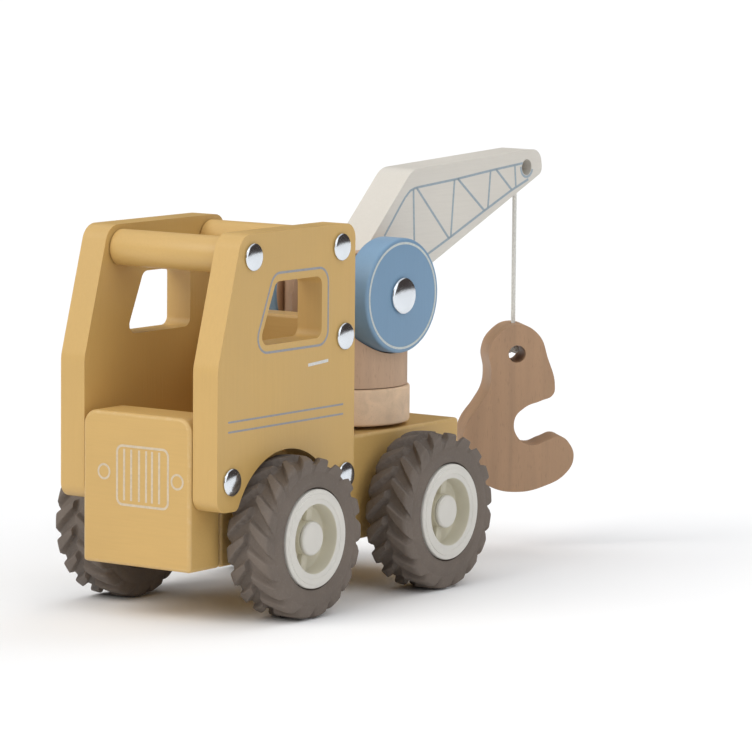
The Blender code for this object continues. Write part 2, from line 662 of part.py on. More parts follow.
def make_hook(turn_pivot, turn_z):
    """Flat beech hook with a round head, a hole and an open jaw, on its own vertical axis."""
    points = [(u * MM, v * MM - turn_z) for u, v in HOOK_OUTLINE]
    hook = plate("hook", points, HOOK_THICKNESS, HOOK_WOOD, turn_pivot, yaw=0.0, smooth=True)
    soften(hook, HOOK_EDGE)
    half = HOOK_THICKNESS
    centre = HOOK_HOLE_Z - turn_z
    cut(hook, rod("hook_cross_hole", HOOK_HOLE_RADIUS, (0, -half, centre), (0, half, centre),
                  parent=turn_pivot))
    cut(hook, rod("hook_string_bore", STRING_BORE_RADIUS, (0, 0, centre),
                  (0, 0, HOOK_TOP - turn_z + 3 * MM), parent=turn_pivot, sides=8))
    knot("string_knot_hook", (0, 0, centre + HOOK_KNOT_RISE), turn_pivot)


def make_crane():
    crane = pivot("slew_axis", (0, 0, 0), yaw=SLEW_AT_REST)
    make_turntable(crane)
    make_post(crane)
    boom_pivot = pivot("luff_axis", (0, 0, PIVOT_Z), crane)
    make_boom(boom_pivot)
    make_dials(boom_pivot)
    make_pivot_bolt(boom_pivot)
    drop = underside(STRING_REACH) - STRING_DROP
    swing_pivot = pivot("hook_swing_axis", (0, STRING_REACH, drop), boom_pivot)
    level_pivot = pivot("string_level_axis", (0, 0, -STRING_STUB), swing_pivot)
    string_top = PIVOT_Z + drop
    turn_z = string_top - STRING_STUB
    make_string(boom_pivot, swing_pivot, level_pivot, string_top, HOOK_HOLE_Z + HOOK_KNOT_RISE)
    turn_pivot = pivot("hook_turn_axis", (0, 0, 0), level_pivot, HOOK_YAW - SLEW_AT_REST)
    make_hook(turn_pivot, turn_z)


make_cab()
make_wheels()
make_crane()
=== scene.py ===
import json
import math

import bmesh
import bpy
import numpy as np
from mathutils import Matrix, Vector


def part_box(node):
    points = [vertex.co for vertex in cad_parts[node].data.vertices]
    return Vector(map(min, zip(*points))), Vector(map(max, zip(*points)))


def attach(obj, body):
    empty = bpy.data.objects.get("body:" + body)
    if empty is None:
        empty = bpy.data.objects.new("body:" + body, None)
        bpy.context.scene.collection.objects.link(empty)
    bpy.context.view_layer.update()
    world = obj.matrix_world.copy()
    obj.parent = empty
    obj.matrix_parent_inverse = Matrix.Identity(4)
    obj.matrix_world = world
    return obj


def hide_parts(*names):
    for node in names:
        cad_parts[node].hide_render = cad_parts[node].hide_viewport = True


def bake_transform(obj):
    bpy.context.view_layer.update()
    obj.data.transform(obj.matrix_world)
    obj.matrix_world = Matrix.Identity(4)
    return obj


# Looks of the wooden toy crane truck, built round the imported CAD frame. The truck faces -Y and its
# left side is +X. Lengths along the truck are distances from its front face.

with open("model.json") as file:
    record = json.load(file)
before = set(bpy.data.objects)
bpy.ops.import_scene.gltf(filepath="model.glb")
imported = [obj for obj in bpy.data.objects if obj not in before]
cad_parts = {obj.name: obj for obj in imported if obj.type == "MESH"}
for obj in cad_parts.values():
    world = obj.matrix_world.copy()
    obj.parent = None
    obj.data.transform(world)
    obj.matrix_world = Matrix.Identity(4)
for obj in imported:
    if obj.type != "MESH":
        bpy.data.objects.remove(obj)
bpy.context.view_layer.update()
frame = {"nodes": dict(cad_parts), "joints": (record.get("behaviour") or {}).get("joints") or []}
MM = 0.001
SIDES = (("left", 1), ("right", -1))
CLEARANCE = 0.3 * MM            # play round a bolt's shank, and between pieces that turn


# ---------------------------------------------------------------- places read from the frame

def joint(name):
    return next(j for j in frame["joints"] if j["name"] == name)


def add_object(name, data):
    obj = bpy.data.objects.new(name, data)
    bpy.context.scene.collection.objects.link(obj)
    return obj


FRONT_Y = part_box("grille_block")[0].y
PANEL_INNER, PANEL_OUTER = (corner.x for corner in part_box("side_panel_left"))
PANEL_THICKNESS = PANEL_OUTER - PANEL_INNER
PIVOT_Z = joint("boom_luff")["pos_m"][2]
LUFF_AXIS = Vector(joint("boom_luff")["axis"])
STRING_TOP = Vector(joint("hook_swing")["pos_m"])
CRANE_FRAME = Matrix.Rotation(math.atan2(LUFF_AXIS.y, LUFF_AXIS.x), 4, "Z")
BOOM_FRAME = CRANE_FRAME @ Matrix.Translation((0.0, 0.0, PIVOT_Z))
HOOK_YAW = math.radians(47.3)
HOOK_FRAME = (Matrix.Translation((STRING_TOP.x, STRING_TOP.y, 0.0))
              @ Matrix.Rotation(HOOK_YAW, 4, "Z"))
AXLES = {end: Vector(joint(f"{end}_axle_spin")["pos_m"]) for end in ("front", "rear")}
TYRE_OUTER_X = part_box("tyre_front_left")[1].x
TYRE_INNER_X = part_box("tyre_front_left")[0].x
TYRE_RADIUS = AXLES["rear"].z
RIM_FACE_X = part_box("hub_front_left")[1].x
HUB_CAP_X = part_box("hub_cap_front_left")[1].x

# ---------------------------------------------------------------- camera

CAMERA_PLACE = Vector((0.9135, -1.2622, 0.2551))
CAMERA_AZIMUTH = math.radians(35.51)
CAMERA_ELEVATION = math.radians(6.81)
CAMERA_ROLL = math.radians(0.51)
CAMERA_LENS = 220.8


def make_camera():
    data = bpy.data.cameras.new("camera")
    data.lens = CAMERA_LENS
    data.clip_start = 0.05
    data.clip_end = 60.0
    camera = add_object("camera", data)
    a, e = CAMERA_AZIMUTH, CAMERA_ELEVATION
    back = Vector((math.sin(a) * math.cos(e), -math.cos(a) * math.cos(e), math.sin(e)))
    right = Vector((math.cos(a), math.sin(a), 0.0))
    up = back.cross(right)
    c, s = math.cos(CAMERA_ROLL), math.sin(CAMERA_ROLL)
    axes = Matrix((c * right + s * up, c * up - s * right, back)).transposed()
    camera.matrix_world = Matrix.Translation(CAMERA_PLACE) @ axes.to_4x4()
    bpy.context.scene.camera = camera


make_camera()


# ---------------------------------------------------------------- materials

def new_material(name, colour, roughness, metallic=0.0):
    made = bpy.data.materials.new(name)
    made.use_nodes = True
    shader = made.node_tree.nodes["Principled BSDF"]
    shader.inputs["Base Color"].default_value = (*colour, 1.0)
    shader.inputs["Roughness"].default_value = roughness
    shader.inputs["Metallic"].default_value = metallic
    return made, made.node_tree, shader


def noise(tree, stretch, detail=3.0, roughness=0.5, distortion=0.0):
    """Noise in object space; stretch is its frequency along X, Y and Z, in cycles per metre."""
    place = tree.nodes.new("ShaderNodeTexCoord")
    mapping = tree.nodes.new("ShaderNodeMapping")
    mapping.inputs["Scale"].default_value = stretch
    texture = tree.nodes.new("ShaderNodeTexNoise")
    texture.inputs["Scale"].default_value = 1.0
    texture.inputs["Detail"].default_value = detail
    texture.inputs["Roughness"].default_value = roughness
    texture.inputs["Distortion"].default_value = distortion
    tree.links.new(place.outputs["Object"], mapping.inputs["Vector"])
    tree.links.new(mapping.outputs["Vector"], texture.inputs["Vector"])
    return texture.outputs["Fac"]


def ramp(tree, factor, *stops):
    """Colour ramp through (position, colour) stops."""
    node = tree.nodes.new("ShaderNodeValToRGB")
    points = node.color_ramp.elements
    while len(points) < len(stops):
        points.new(0.5)
    for point, (place, colour) in zip(points, stops):
        point.position = place
        point.color = (*colour, 1.0)
    tree.links.new(factor, node.inputs["Fac"])
    return node.outputs["Color"]


def grey(tree, factor, low, high, black=0.0, white=1.0):
    """Map a factor between two places to a span of grey."""
    return ramp(tree, factor, (low, (black,) * 3), (high, (white,) * 3))


def mixed(tree, factor, first, second):
    node = tree.nodes.new("ShaderNodeMix")
    node.data_type = "RGBA"
    for socket, value in ((node.inputs[0], factor), (node.inputs[6], first), (node.inputs[7], second)):
        if isinstance(value, bpy.types.NodeSocket):
            tree.links.new(value, socket)
        elif isinstance(value, tuple):
            socket.default_value = (*value, 1.0)
        else:
            socket.default_value = value
    return node.outputs[2]


def bump(tree, shader, height, depth, under=None):
    """Bump of a depth in metres, on top of an earlier bump node."""
    node = tree.nodes.new("ShaderNodeBump")
    node.inputs["Distance"].default_value = depth
    node.inputs["Strength"].default_value = 1.0
    tree.links.new(height, node.inputs["Height"])
    if under:
        tree.links.new(under.outputs["Normal"], node.inputs["Normal"])
    tree.links.new(node.outputs["Normal"], shader.inputs["Normal"])
    return node


def shaded(colour, factor):
    return tuple(min(1.0, c * factor) for c in colour)


def painted(name, colour, grain, wear_and_highlight=0.0):
    """Satin paint over wood: faint grain, a little unevenness, and for edges lighter paint, partly worn spots
    and partly a painted highlight.
    """
    material, tree, shader = new_material(name, colour, 0.5)
    patches = noise(tree, (28.0, 28.0, 28.0), 2.0)
    tone = ramp(tree, patches, (0.3, shaded(colour, 0.965)), (0.7, shaded(colour, 1.03)))
    lines = noise(tree, tuple(1300.0 if g == 0 else 45.0 for g in grain), 3.0, 0.6)
    tone = mixed(tree, grey(tree, lines, 0.42, 0.62, 0.0, 0.35), tone, shaded(colour, 0.94))
    # edges: the lighter rubbed spots are wear; the even lightening under them is a painted highlight
    if wear_and_highlight:
        spots = noise(tree, (420.0, 420.0, 420.0), 3.0, 0.65)
        rubbed_and_lit = tuple(min(1.0, 0.72 * c + 0.28 * w) for c, w in zip(colour, (0.85, 0.74, 0.58)))
        tone = mixed(tree, grey(tree, spots, 0.5, 0.72, 0.25 * wear_and_highlight, wear_and_highlight), tone, rubbed_and_lit)
    tree.links.new(tone, shader.inputs["Base Color"])
    tree.links.new(grey(tree, patches, 0.3, 0.7, 0.42, 0.54), shader.inputs["Roughness"])
    fine = noise(tree, (900.0, 900.0, 900.0), 2.0)
    first = bump(tree, shader, lines, 0.00006)
    bump(tree, shader, fine, 0.00003, under=first)
    shader.inputs["Coat Weight"].default_value = 0.12
    shader.inputs["Coat Roughness"].default_value = 0.3
    return material


def beech(name, colour, grain):
    """Varnished beech: long soft bands and short dark flecks along the grain."""
    material, tree, shader = new_material(name, colour, 0.5)
    bands = noise(tree, tuple(170.0 if g == 0 else 9.0 for g in grain), 4.0, 0.55, 0.6)
    tone = ramp(tree, bands, (0.28, shaded(colour, 0.8)), (0.5, colour), (0.74, shaded(colour, 1.14)))
    flecks = noise(tree, tuple(2600.0 if g == 0 else 330.0 for g in grain), 2.0, 0.5)
    tone = mixed(tree, grey(tree, flecks, 0.6, 0.72, 0.0, 0.5), tone, shaded(colour, 0.62))
    broad = noise(tree, (35.0, 35.0, 20.0), 1.0)
    tone = mixed(tree, grey(tree, broad, 0.3, 0.7, 0.0, 0.4), tone, shaded(colour, 0.86))
    tree.links.new(tone, shader.inputs["Base Color"])
    tree.links.new(grey(tree, bands, 0.3, 0.7, 0.5, 0.62), shader.inputs["Roughness"])
    first = bump(tree, shader, flecks, 0.00005)
    bump(tree, shader, bands, 0.00005, under=first)
    return material


def rubber():
    colour = (0.142, 0.114, 0.093)
    material, tree, shader = new_material("grey_brown_rubber", colour, 0.72)
    patches = noise(tree, (60.0, 60.0, 60.0), 4.0, 0.6)
    tone = ramp(tree, patches, (0.3, shaded(colour, 0.86)), (0.72, shaded(colour, 1.16)))
    dust = noise(tree, (1500.0, 1500.0, 1500.0), 2.0)
    tone = mixed(tree, grey(tree, dust, 0.55, 0.75, 0.0, 0.22), tone, (0.24, 0.21, 0.18))
    tree.links.new(tone, shader.inputs["Base Color"])
    tree.links.new(grey(tree, patches, 0.3, 0.7, 0.62, 0.78), shader.inputs["Roughness"])
    bump(tree, shader, dust, 0.00005)
    return material


def plastic(name, colour):
    material, tree, shader = new_material(name, colour, 0.42)
    patches = noise(tree, (90.0, 90.0, 90.0), 3.0)
    tone = ramp(tree, patches, (0.3, shaded(colour, 0.95)), (0.7, shaded(colour, 1.03)))
    tree.links.new(tone, shader.inputs["Base Color"])
    tree.links.new(grey(tree, patches, 0.3, 0.7, 0.36, 0.5), shader.inputs["Roughness"])
    bump(tree, shader, noise(tree, (1800.0, 1800.0, 1800.0), 1.0), 0.00002)
    return material


def metal(name, colour, roughness, brushed=False):
    material, tree, shader = new_material(name, colour, roughness, 1.0)
    smears = noise(tree, (160.0, 160.0, 160.0), 3.0)
    tone = ramp(tree, smears, (0.3, shaded(colour, 0.93)), (0.7, colour))
    tree.links.new(tone, shader.inputs["Base Color"])
    tree.links.new(grey(tree, smears, 0.35, 0.75, roughness, roughness + 0.1), shader.inputs["Roughness"])
    scratches = noise(tree, (200.0, 5000.0, 5000.0) if brushed else (700.0, 700.0, 700.0), 1.0)
    bump(tree, shader, scratches, 0.00003 if brushed else 0.000012)
    return material


def cotton():
    colour = (0.80, 0.79, 0.74)
    material, tree, shader = new_material("twisted_cotton", colour, 0.9)
    fibres = noise(tree, (3200.0, 3200.0, 900.0), 3.0, 0.7)
    tone = ramp(tree, fibres, (0.3, shaded(colour, 0.78)), (0.7, shaded(colour, 1.1)))
    tree.links.new(tone, shader.inputs["Base Color"])
    shader.inputs["Sheen Weight"].default_value = 0.3
    bump(tree, shader, fibres, 0.00008)
    return material


def printed(name, colour):
    """Screen-printed ink with small gaps where the paint shows through."""
    material, tree, shader = new_material(name, colour, 0.6)
    screen = noise(tree, (1100.0, 1100.0, 1100.0), 2.0)
    tone = ramp(tree, screen, (0.32, shaded(colour, 0.88)), (0.6, colour))
    tree.links.new(tone, shader.inputs["Base Color"])
    bump(tree, shader, screen, 0.00002)
    return material


ALONG_X, ALONG_Y, ALONG_Z = (1, 0, 0), (0, 1, 0), (0, 0, 1)
OCHRE, CREAM, BLUE = (0.575, 0.368, 0.122), (0.655, 0.622, 0.56), (0.175, 0.3, 0.44)
# the second paint of each pair goes on the rounded edges: lighter, for wear and a painted highlight
OCHRE_UPRIGHT = (painted("ochre_paint", OCHRE, ALONG_Z), painted("ochre_paint_edge", OCHRE, ALONG_Z, 0.5))
OCHRE_LONG = (painted("ochre_paint_long", OCHRE, ALONG_Y),
              painted("ochre_paint_long_edge", OCHRE, ALONG_Y, 0.5))
OCHRE_CROSS = (painted("ochre_paint_cross", OCHRE, ALONG_X),
               painted("ochre_paint_cross_edge", OCHRE, ALONG_X, 0.5))
CREAM_PAINT = (painted("cream_paint", CREAM, ALONG_Y), painted("cream_paint_edge", CREAM, ALONG_Y, 0.4))
BLUE_PAINT = painted("blue_paint", BLUE, ALONG_X)
DIAL_BEECH = beech("beech_dial", (0.50, 0.335, 0.22), ALONG_X)
POST_BEECH = beech("beech_post", (0.50, 0.335, 0.22), ALONG_Z)
RING_BEECH = beech("beech_ring", (0.72, 0.52, 0.345), ALONG_X)
HOOK_BEECH = beech("beech_hook", (0.40, 0.248, 0.145), ALONG_Z)
RUBBER = rubber()
# the second plastic, darker and warmer, is painted shade for the faces inside the hubs' recesses
PLASTIC = (plastic("off_white_plastic", (0.64, 0.62, 0.57)),
           plastic("off_white_plastic_recess_shade", (0.60, 0.565, 0.45)))
CHROME = metal("polished_chrome", (0.74, 0.78, 0.82), 0.13)
STEEL = metal("plain_steel", (0.5, 0.5, 0.5), 0.3, brushed=True)
COTTON = cotton()
BODY_INK = printed("grey_blue_ink", (0.30, 0.31, 0.33))
GRILLE_INK = printed("pale_ink", (0.60, 0.50, 0.36))
HANDLE_INK = printed("white_ink", (0.68, 0.68, 0.66))
BOOM_INK = printed("blue_ink", (0.33, 0.40, 0.45))
DIAL_INK = printed("ring_ink", (0.56, 0.60, 0.58))


# ---------------------------------------------------------------- mesh helpers

def arc(centre, radius, start, end, steps):
    angles = [start + (end - start) * i / steps for i in range(steps + 1)]
    return [(centre[0] + radius * math.cos(a), centre[1] + radius * math.sin(a)) for a in angles]


def circle(centre, radius, steps=48):
    return arc(centre, radius, 0.0, math.tau * (1 - 1 / steps), steps - 1)


def rounded(corners, steps=10):
    """Closed outline whose (u, v, radius) corners are replaced by arcs; radius 0 keeps a corner."""
    points = []
    count = len(corners)
    for i, (u, v, radius) in enumerate(corners):
        corner = Vector((u, v))
        if radius == 0:
            points.append((u, v))
            continue
        before = (Vector(corners[i - 1][:2]) - corner).normalized()
        after = (Vector(corners[(i + 1) % count][:2]) - corner).normalized()
        half = before.angle(after) / 2
        centre = corner + (before + after).normalized() * (radius / math.sin(half))
        first = corner + before * (radius / math.tan(half)) - centre
        last = corner + after * (radius / math.tan(half)) - centre
        begin = math.atan2(first.y, first.x)
        points += arc(centre, radius, begin, begin - first.angle_signed(last), steps)
    return points


def evenly_rounded(corners, radius):
    """Closed outline through corners in millimetres, all with one radius in metres."""
    return rounded([(u * MM, v * MM, radius) for u, v in corners])


def tidy(mesh, flat=False):
    """Weld a mesh, merge coplanar faces if asked, and turn its faces out."""
    bm = bmesh.new()
    bm.from_mesh(mesh)
    bmesh.ops.remove_doubles(bm, verts=bm.verts, dist=0.000001)
    if flat:
        bmesh.ops.dissolve_limit(bm, angle_limit=math.radians(0.5), verts=bm.verts, edges=bm.edges)
    bmesh.ops.recalc_face_normals(bm, faces=bm.faces)
    bm.to_mesh(mesh)
    bm.free()


def mesh_of(name, points, faces):
    mesh = bpy.data.meshes.new(name)
    mesh.from_pydata([tuple(p) for p in points], [], faces)
    tidy(mesh)
    return mesh


def smooth(mesh, sharp=35.0):
    mesh.shade_smooth()
    mesh.set_sharp_from_angle(angle=math.radians(sharp))


def paint(mesh, materials):
    """Give a mesh one material, or a face material and a second one for edges or other faces."""
    mesh.materials.clear()
    for material in materials if isinstance(materials, tuple) else (materials,):
        mesh.materials.append(material)


def piece(name, mesh, body, materials, replaces=(), place=None):
    """Put a mesh in the scene as a piece that rides on a CAD body."""
    obj = add_object(name, mesh)
    paint(mesh, materials)
    if place:
        obj.matrix_world = place
    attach(obj, body)
    if replaces:
        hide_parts(*replaces)
    return obj


SOFTENED_FROM = math.radians(40.0)


def soften(obj, width, segments=4):
    """Round an object's sharp edges, in the second of its materials if it has one."""
    bevel = obj.modifiers.new("rounded_edges", "BEVEL")
    bevel.width = width
    bevel.segments = segments
    bevel.limit_method = "ANGLE"
    bevel.angle_limit = SOFTENED_FROM
    # the edge faces take the second material: for paints, lighter with wear and a painted highlight
    bevel.material = 1 if len(obj.data.materials) > 1 else -1
    bevel.harden_normals = True
    obj.data.shade_smooth()


def slab(name, outlines, thickness, bezier=()):
    """Flat plate in local X and Y, through Z; outlines inside the first one are holes."""
    curve = bpy.data.curves.new(name, "CURVE")
    curve.dimensions = "2D"
    curve.fill_mode = "BOTH"
    curve.extrude = thickness / 2
    for points in bezier:
        spline = curve.splines.new("BEZIER")
        spline.bezier_points.add(len(points) - 1)
        for knot, (u, v) in zip(spline.bezier_points, points):
            knot.co = (u, v, 0.0)
            knot.handle_left_type = knot.handle_right_type = "AUTO"
        spline.use_cyclic_u = True
        curve.resolution_u = 10
    for points in outlines:
        spline = curve.splines.new("POLY")
        spline.points.add(len(points) - 1)
        for knot, (u, v) in zip(spline.points, points):
            knot.co = (u, v, 0.0, 1.0)
        spline.use_cyclic_u = True
    source = add_object(name, curve)
    mesh = bpy.data.meshes.new_from_object(source.evaluated_get(bpy.context.evaluated_depsgraph_get()))
    bpy.data.objects.remove(source, do_unlink=True)
    tidy(mesh, flat=True)
    return mesh


def upright(mesh, yaw):
    """Stand a slab up: its local Y turns to +Z, and its X lies at a yaw from +X."""
    mesh.transform(Matrix.Rotation(yaw, 4, "Z") @ Matrix.Rotation(math.pi / 2, 4, "X"))
    return mesh


def block(name, low, high):
    low, high = Vector(low), Vector(high)
    bm = bmesh.new()
    bmesh.ops.create_cube(bm, size=1.0)
    bmesh.ops.scale(bm, vec=high - low, verts=bm.verts)
    bmesh.ops.translate(bm, vec=(low + high) / 2, verts=bm.verts)
    mesh = bpy.data.meshes.new(name)
    bm.to_mesh(mesh)
    bm.free()
    return mesh


def turned(name, profile, sides=96, ring=False):
    """Body of revolution about Z from (radius, height) points; a ring's profile is closed."""
    bm = bmesh.new()
    corners = [bm.verts.new((radius, 0.0, height)) for radius, height in profile]
    pairs = list(zip(corners, corners[1:])) + ([(corners[-1], corners[0])] if ring else [])
    edges = [bm.edges.new(pair) for pair in pairs]
    bmesh.ops.spin(bm, geom=corners + edges, cent=(0, 0, 0), axis=(0, 0, 1), angle=math.tau,
                   steps=sides, use_merge=True, use_duplicate=False)
    mesh = bpy.data.meshes.new(name)
    bm.to_mesh(mesh)
    bm.free()
    tidy(mesh)
    smooth(mesh)
    return mesh


def across(side):
    """Turn local Z to +X, or to -X."""
    return Matrix.Rotation(side * math.pi / 2, 4, "Y")


def cut(obj, mesh, name):
    """Take a shape out of an object for good."""
    cutter = add_object(name, mesh)
    cutter.matrix_world = obj.matrix_world
    boolean = obj.modifiers.new(name, "BOOLEAN")
    boolean.operation = "DIFFERENCE"
    boolean.solver = "EXACT"
    boolean.object = cutter
    graph = bpy.context.evaluated_depsgraph_get()
    result = bpy.data.meshes.new_from_object(obj.evaluated_get(graph))
    obj.modifiers.remove(boolean)
    bpy.data.objects.remove(cutter, do_unlink=True)
    tidy(result, flat=True)
    obj.data = result


INK_TOP = 0.05 * MM
INK_SINK = 0.15 * MM


def ribbons(name, lines, place):
    """Thin printed lines; each is (points, width, closed), and place maps (u, v, height) to space."""
    points, faces = [], []
    for line, width, closed in lines:
        line = [Vector(p) for p in line]
        count = len(line)
        first = len(points)
        for i, spot in enumerate(line):
            before = line[i - 1] if closed or i > 0 else spot
            after = line[(i + 1) % count] if closed or i < count - 1 else spot
            into, out = (spot - before), (after - spot)
            into = into.normalized() if into.length else out.normalized()
            out = out.normalized() if out.length else into
            normal = Vector((-(into + out).y, (into + out).x)).normalized()
            reach = width / 2 / max(0.4, normal.dot(Vector((-into.y, into.x))))
            for offset, height in ((reach, INK_TOP), (-reach, INK_TOP), (-reach, -INK_SINK),
                                   (reach, -INK_SINK)):
                points.append(place(spot.x + normal.x * offset, spot.y + normal.y * offset, height))
        for i in range(count if closed else count - 1):
            a, b = first + 4 * i, first + 4 * ((i + 1) % count)
            faces += [(a + k, a + (k + 1) % 4, b + (k + 1) % 4, b + k) for k in range(4)]
        if not closed:
            last = first + 4 * (count - 1)
            faces += [(first, first + 1, first + 2, first + 3), (last, last + 1, last + 2, last + 3)]
    return mesh_of(name, points, faces)


# ---------------------------------------------------------------- string, knots

STRING_DIAMETER = 1.7 * MM
STRING_TWIST = 3.4 * MM         # length of one turn of its three strands
HOOK_HOLE_Z = 69.4 * MM
BOOM_HOLE = (91.6 * MM, 37.6 * MM)
BOOM_HOLE_RADIUS = 2.8 * MM
STRING_BORE_RADIUS = 1.2 * MM
STRAND_SHARE = 0.68             # a strand's radius, of the string's
STRING_END_RISE = 1.6 * MM      # the string's lower end, above the middle of the hook's hole
HOOK_KNOT_RISE = 0.9 * MM
HOOK_KNOT_SIZE = 2.2 * MM
BOOM_KNOT_SIZE = 1.8 * MM


def twisted(name, path, phase=0.0):
    """Three strands laid round each other, as one lobed tube along a nearly straight path."""
    sides, radius = 24, STRING_DIAMETER / 2
    strand = radius * STRAND_SHARE
    offset = radius - strand
    points, faces, run = [], [], 0.0
    for i, spot in enumerate(path):
        if i:
            run += (spot - path[i - 1]).length
        twist = phase + math.tau * run / STRING_TWIST
        for k in range(sides):
            angle = math.tau * k / sides
            lobe = (angle * 3 / math.tau) % 1.0 - 0.5
            swing = lobe * math.tau / 3
            reach = offset * math.cos(swing) + math.sqrt(strand ** 2 - (offset * math.sin(swing)) ** 2)
            turn = angle + twist
            points.append(spot + Vector((reach * math.cos(turn), reach * math.sin(turn), 0.0)))
    rows = len(path)
    for i in range(rows - 1):
        for k in range(sides):
            a, b = i * sides + k, i * sides + (k + 1) % sides
            faces.append((a, b, b + sides, a + sides))
    for i, tip in ((0, path[0]), (rows - 1, path[-1])):
        points.append(tip)
        faces += [(i * sides + k, i * sides + (k + 1) % sides, len(points) - 1) for k in range(sides)]
    mesh = mesh_of(name, points, faces)
    smooth(mesh, 70)
    return mesh


def knot(name, centre, size, body, replaces):
    """Overhand knot: a tube along a trefoil."""
    steps, sides, tube = 90, 12, size * 0.26
    line = []
    for i in range(steps):
        t = math.tau * i / steps
        line.append(Vector((math.sin(t) + 2 * math.sin(2 * t), math.cos(t) - 2 * math.cos(2 * t),
                            -1.3 * math.sin(3 * t))) * (size * 0.25))
    points = []
    for i, spot in enumerate(line):
        along = (line[(i + 1) % steps] - line[i - 1]).normalized()
        side = along.cross(Vector((0.0, 0.0, 1.0))).normalized()
        up = side.cross(along)
        points += [centre + spot + (side * math.cos(a) + up * math.sin(a)) * tube
                   for a in (math.tau * k / sides for k in range(sides))]
    faces = [(i * sides + k, i * sides + (k + 1) % sides,
              (i + 1) % steps * sides + (k + 1) % sides, (i + 1) % steps * sides + k)
             for i in range(steps) for k in range(sides)]
    mesh = mesh_of(name, points, faces)
    smooth(mesh, 180)
    return piece(name, mesh, body, COTTON, replaces)


def down(top, bottom, steps):
    return [top.lerp(bottom, i / steps) for i in range(steps + 1)]


def make_string():
    """The free string hangs from just under the boom to the knot in the hook."""
    hook_end = Vector((STRING_TOP.x, STRING_TOP.y, HOOK_HOLE_Z + STRING_END_RISE))
    boom_hole = BOOM_FRAME @ Vector((0.0, STRING_TOP.xy.length, BOOM_HOLE[1]))
    path = down(STRING_TOP, hook_end, 150)
    string = add_object("string_twisted", twisted("string_twisted", path))
    paint(string.data, COTTON)
    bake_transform(string)
    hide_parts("string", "string_stub")
    knot_end = BOOM_FRAME @ Vector((0.0, BOOM_HOLE[0] + 1.6 * MM, BOOM_HOLE[1] - 0.5 * MM))
    bore_top = boom_hole - Vector((0, 0, 1.7 * MM))
    bore = add_object("string_in_boom", twisted(
        "string_in_boom", down(knot_end, bore_top, 8) + down(bore_top, STRING_TOP, 24)[1:], 1.0))
    paint(bore.data, COTTON)
    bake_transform(bore)
    low_knot = knot("hook_knot", Vector((STRING_TOP.x, STRING_TOP.y, HOOK_HOLE_Z + HOOK_KNOT_RISE)),
                    HOOK_KNOT_SIZE, "hook", ("string_knot_hook",))
    knot_place = BOOM_FRAME @ Vector((0.0, BOOM_HOLE[0] + 0.5 * MM, BOOM_HOLE[1] - 0.7 * MM))
    high_knot = knot("boom_knot", knot_place, BOOM_KNOT_SIZE, "boom", ("string_knot_top",))


make_string()


# ---------------------------------------------------------------- cab

EDGE = 1.2 * MM
DOWEL_RADIUS = 6.0 * MM
BOLTS = {"front_top": (19.3 * MM, 118.2 * MM), "rear_top": (67.0 * MM, 118.2 * MM),
         "rear_mid": (69.2 * MM, 88.7 * MM), "front_low": (8.4 * MM, 47.0 * MM),
         "rear_low": (70.0 * MM, 42.5 * MM)}
BOLT_HEAD_RADIUS = 4.5 * MM
BOLT_HEAD_HEIGHT = 1.4 * MM
BOLT_SHANK_RADIUS = 2.0 * MM
BOLT_LENGTH = 22.0 * MM
WHEEL_ARCH_RADIUS = 28.3 * MM
PANEL_CORNER = 4.6 * MM
PANEL_FOOT_CORNER = 2.6 * MM
PANEL_WAIST_Z = 83.5 * MM       # where the front edge starts to lean back
PANEL_ROOF_FRONT = 13.3 * MM
GRILLE_CORNER = 5.0 * MM
PRINT_CORNER = 5.0 * MM


def panel_outline():
    """Side panel: distance from the front, height."""
    low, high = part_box("side_panel_left")
    axle = AXLES["front"].y - FRONT_Y
    start = math.pi - math.asin((low.z - TYRE_RADIUS) / WHEEL_ARCH_RADIUS)
    arch = arc((axle, TYRE_RADIUS), WHEEL_ARCH_RADIUS, start, math.pi - start, 40)
    front, back = low.y - FRONT_Y, high.y - FRONT_Y
    return rounded([(front, low.z, PANEL_CORNER), (*arch[0], PANEL_FOOT_CORNER)]
                   + [(u, v, 0) for u, v in arch[1:-1]]
                   + [(*arch[-1], PANEL_FOOT_CORNER), (back, low.z, PANEL_CORNER),
                      (back, high.z, 5.0 * MM), (PANEL_ROOF_FRONT, high.z, 6.5 * MM),
                      (front, PANEL_WAIST_Z, 12.0 * MM)])


def window_outline():
    return evenly_rounded([(22.6, 89.3), (56.5, 89.3), (56.5, 109.5), (31.6, 109.5)], 3.0 * MM)


def make_side_panel(label, side):
    holes = [circle(place, BOLT_SHANK_RADIUS + CLEARANCE, 24) for place in BOLTS.values()]
    mesh = upright(slab(f"side_panel_{label}_wood", [panel_outline(), window_outline(), *holes],
                        PANEL_THICKNESS), math.pi / 2)
    mesh.transform(Matrix.Translation((side * (PANEL_INNER + PANEL_THICKNESS / 2), FRONT_Y, 0.0)))
    panel = piece(f"side_panel_{label}_wood", mesh, "truck", OCHRE_UPRIGHT,
                  (f"side_panel_{label}",))
    soften(panel, EDGE)


def dome(radius, height, steps=12):
    """Profile of a domed head, from its crown out and down to its flat underside."""
    angles = [math.pi / 2 * (1 - i / steps) for i in range(steps)]
    return ([(radius * math.cos(a), height * (0.25 + 0.75 * math.sin(a))) for a in angles]
            + [(radius, 0.25 * height), (radius * 0.985, 0.06 * height), (radius * 0.95, 0.0)])


